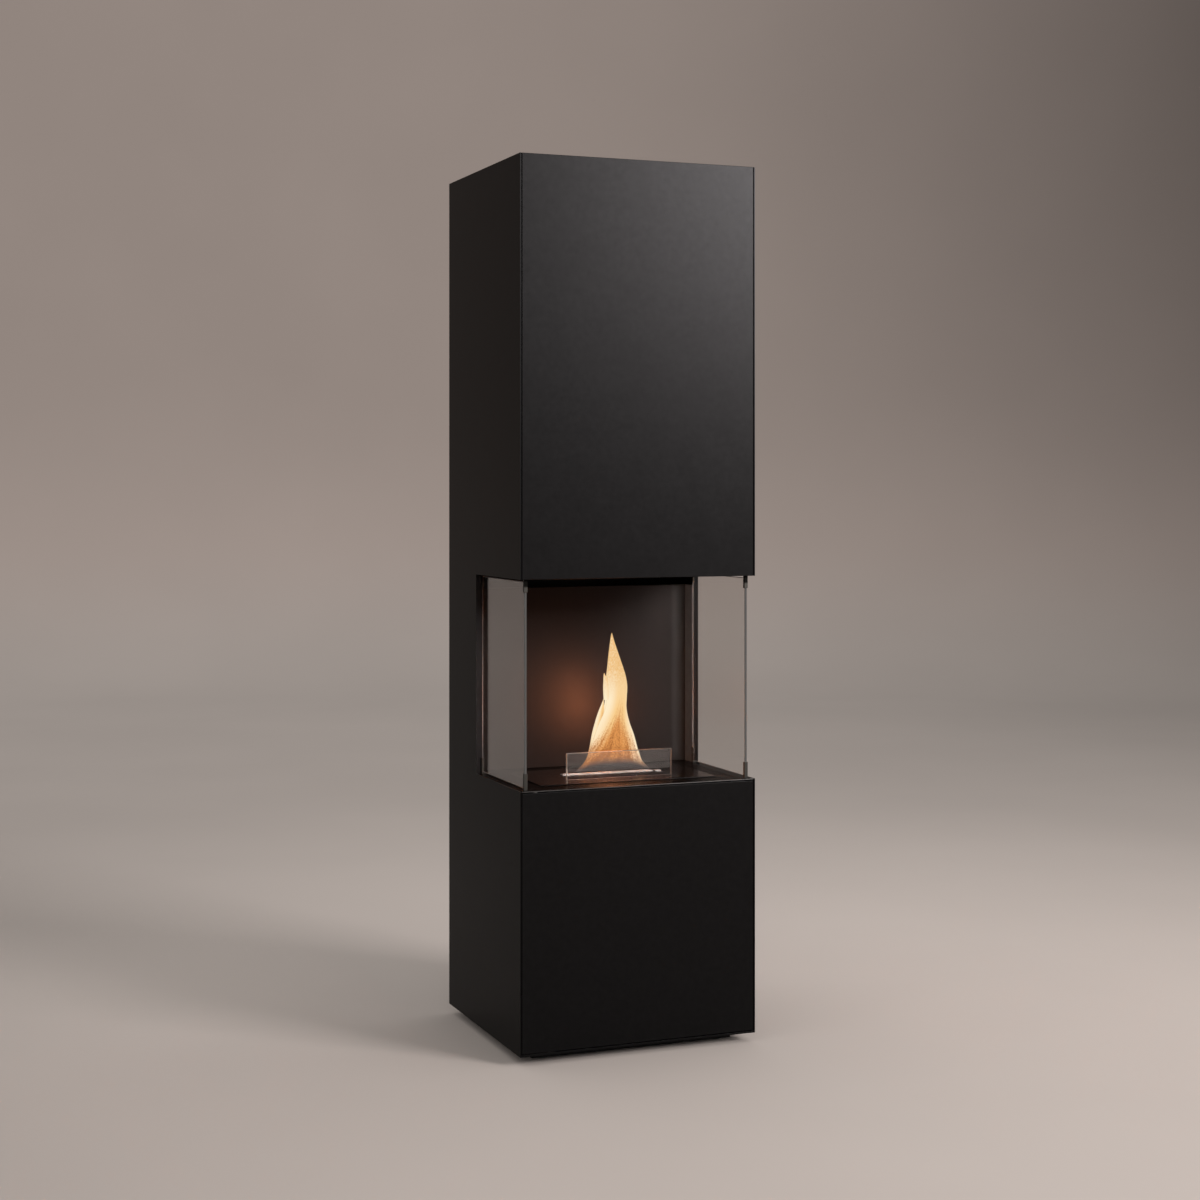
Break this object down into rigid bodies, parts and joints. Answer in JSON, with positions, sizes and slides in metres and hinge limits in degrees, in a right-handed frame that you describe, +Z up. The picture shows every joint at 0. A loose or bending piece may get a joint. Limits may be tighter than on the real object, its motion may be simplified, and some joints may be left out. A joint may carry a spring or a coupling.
{
  "type": "bioethanol fireplace",
  "caption": "Tall free-standing black steel bioethanol fireplace with an open front, glass sides, a slot burner in the hearth and a door to the cabinet below.",
  "frame": {"origin": "on the floor, under the middle of the body", "axes": "+Z up, -Y the open front, +X to the right seen from the front"},
  "size_m": [0.4, 0.36, 1.405],
  "materials": {
    "black_coat": "satin",
    "liner_coat": "matte",
    "hearth_steel": "satin",
    "insert_gloss": "gloss",
    "brushed_steel": "satin",
    "plated_steel": "satin",
    "galvanised_steel": "matte",
    "clear_glass": "gloss",
    "ceramic_fibre": "matte",
    "black_rubber": "matte",
    "dark_plastic": "matte",
    "flame": "matte"
  },
  "bodies": {
    "casing": {"plinth_frame": "black_coat", "levelling_foot_front_left": "black_rubber", "levelling_foot_front_right": "black_rubber", "levelling_foot_rear_left": "black_rubber", "levelling_foot_rear_right": "black_rubber", "base_plate": "black_coat", "rear_cover": "black_coat", "top_cover": "black_coat", "upper_front_panel": "black_coat", "ceiling_plate": "liner_coat", "heat_shield": "galvanised_steel", "firebox_back_panel": "liner_coat", "hearth_plate": "hearth_steel", "cabinet_ceiling": "liner_coat", "overflow_tray": "galvanised_steel", "left_side_panel": "black_coat", "left_liner_panel": "liner_coat", "left_hearth_rail": "galvanised_steel", "left_glass_pane": "clear_glass", "right_side_panel": "black_coat", "right_liner_panel": "liner_coat", "right_hearth_rail": "galvanised_steel", "right_glass_pane": "clear_glass", "left_pane_clip_lower_front": "plated_steel", "left_pane_clip_lower_rear": "plated_steel", "left_pane_clip_upper_front": "plated_steel", "left_pane_clip_upper_rear": "plated_steel", "right_pane_clip_lower_front": "plated_steel", "right_pane_clip_lower_rear": "plated_steel", "right_pane_clip_upper_front": "plated_steel", "right_pane_clip_upper_rear": "plated_steel", "rear_cover_screw_left_1": "galvanised_steel", "rear_cover_screw_left_2": "galvanised_steel", "rear_cover_screw_left_3": "galvanised_steel", "rear_cover_screw_left_4": "galvanised_steel", "rear_cover_screw_right_1": "galvanised_steel", "rear_cover_screw_right_2": "galvanised_steel", "rear_cover_screw_right_3": "galvanised_steel", "rear_cover_screw_right_4": "galvanised_steel", "door_hinge_pin_lower": "brushed_steel", "door_hinge_pin_upper": "brushed_steel", "door_latch_housing": "dark_plastic", "door_bumper": "black_rubber"},
    "door": {"lower_door": "black_coat", "door_hinge_block_lower": "galvanised_steel", "door_hinge_block_upper": "galvanised_steel", "door_strike_plate": "galvanised_steel"},
    "latch_plunger": {"door_latch_plunger": "dark_plastic"},
    "burner": {"burner_insert_plate": "insert_gloss", "burner_slot_rim": "brushed_steel", "burner_tank": "brushed_steel", "ceramic_wick_block": "ceramic_fibre", "wind_guard_glass": "clear_glass"},
    "shutter": {"flame_shutter": "brushed_steel"}
  },
  "joints": [
    {"name": "door_hinge", "type": "hinge", "parent": "casing", "child": "door", "pos_m": [-0.1728, -0.174, 0.22], "axis": [0, 0, -1], "range_deg": [0, 100]},
    {"name": "latch_press", "type": "slide", "parent": "casing", "child": "latch_plunger", "axis": [0, 1, 0], "range_m": [0, 0.004], "stiffness_N_per_m": 150},
    {"name": "burner_lift", "type": "slide", "parent": "casing", "child": "burner", "axis": [0, 0, 1], "range_m": [0, 0.09]},
    {"name": "shutter_slide", "type": "slide", "parent": "burner", "child": "shutter", "axis": [0, -1, 0], "range_m": [0, 0.0133]}
  ]
}
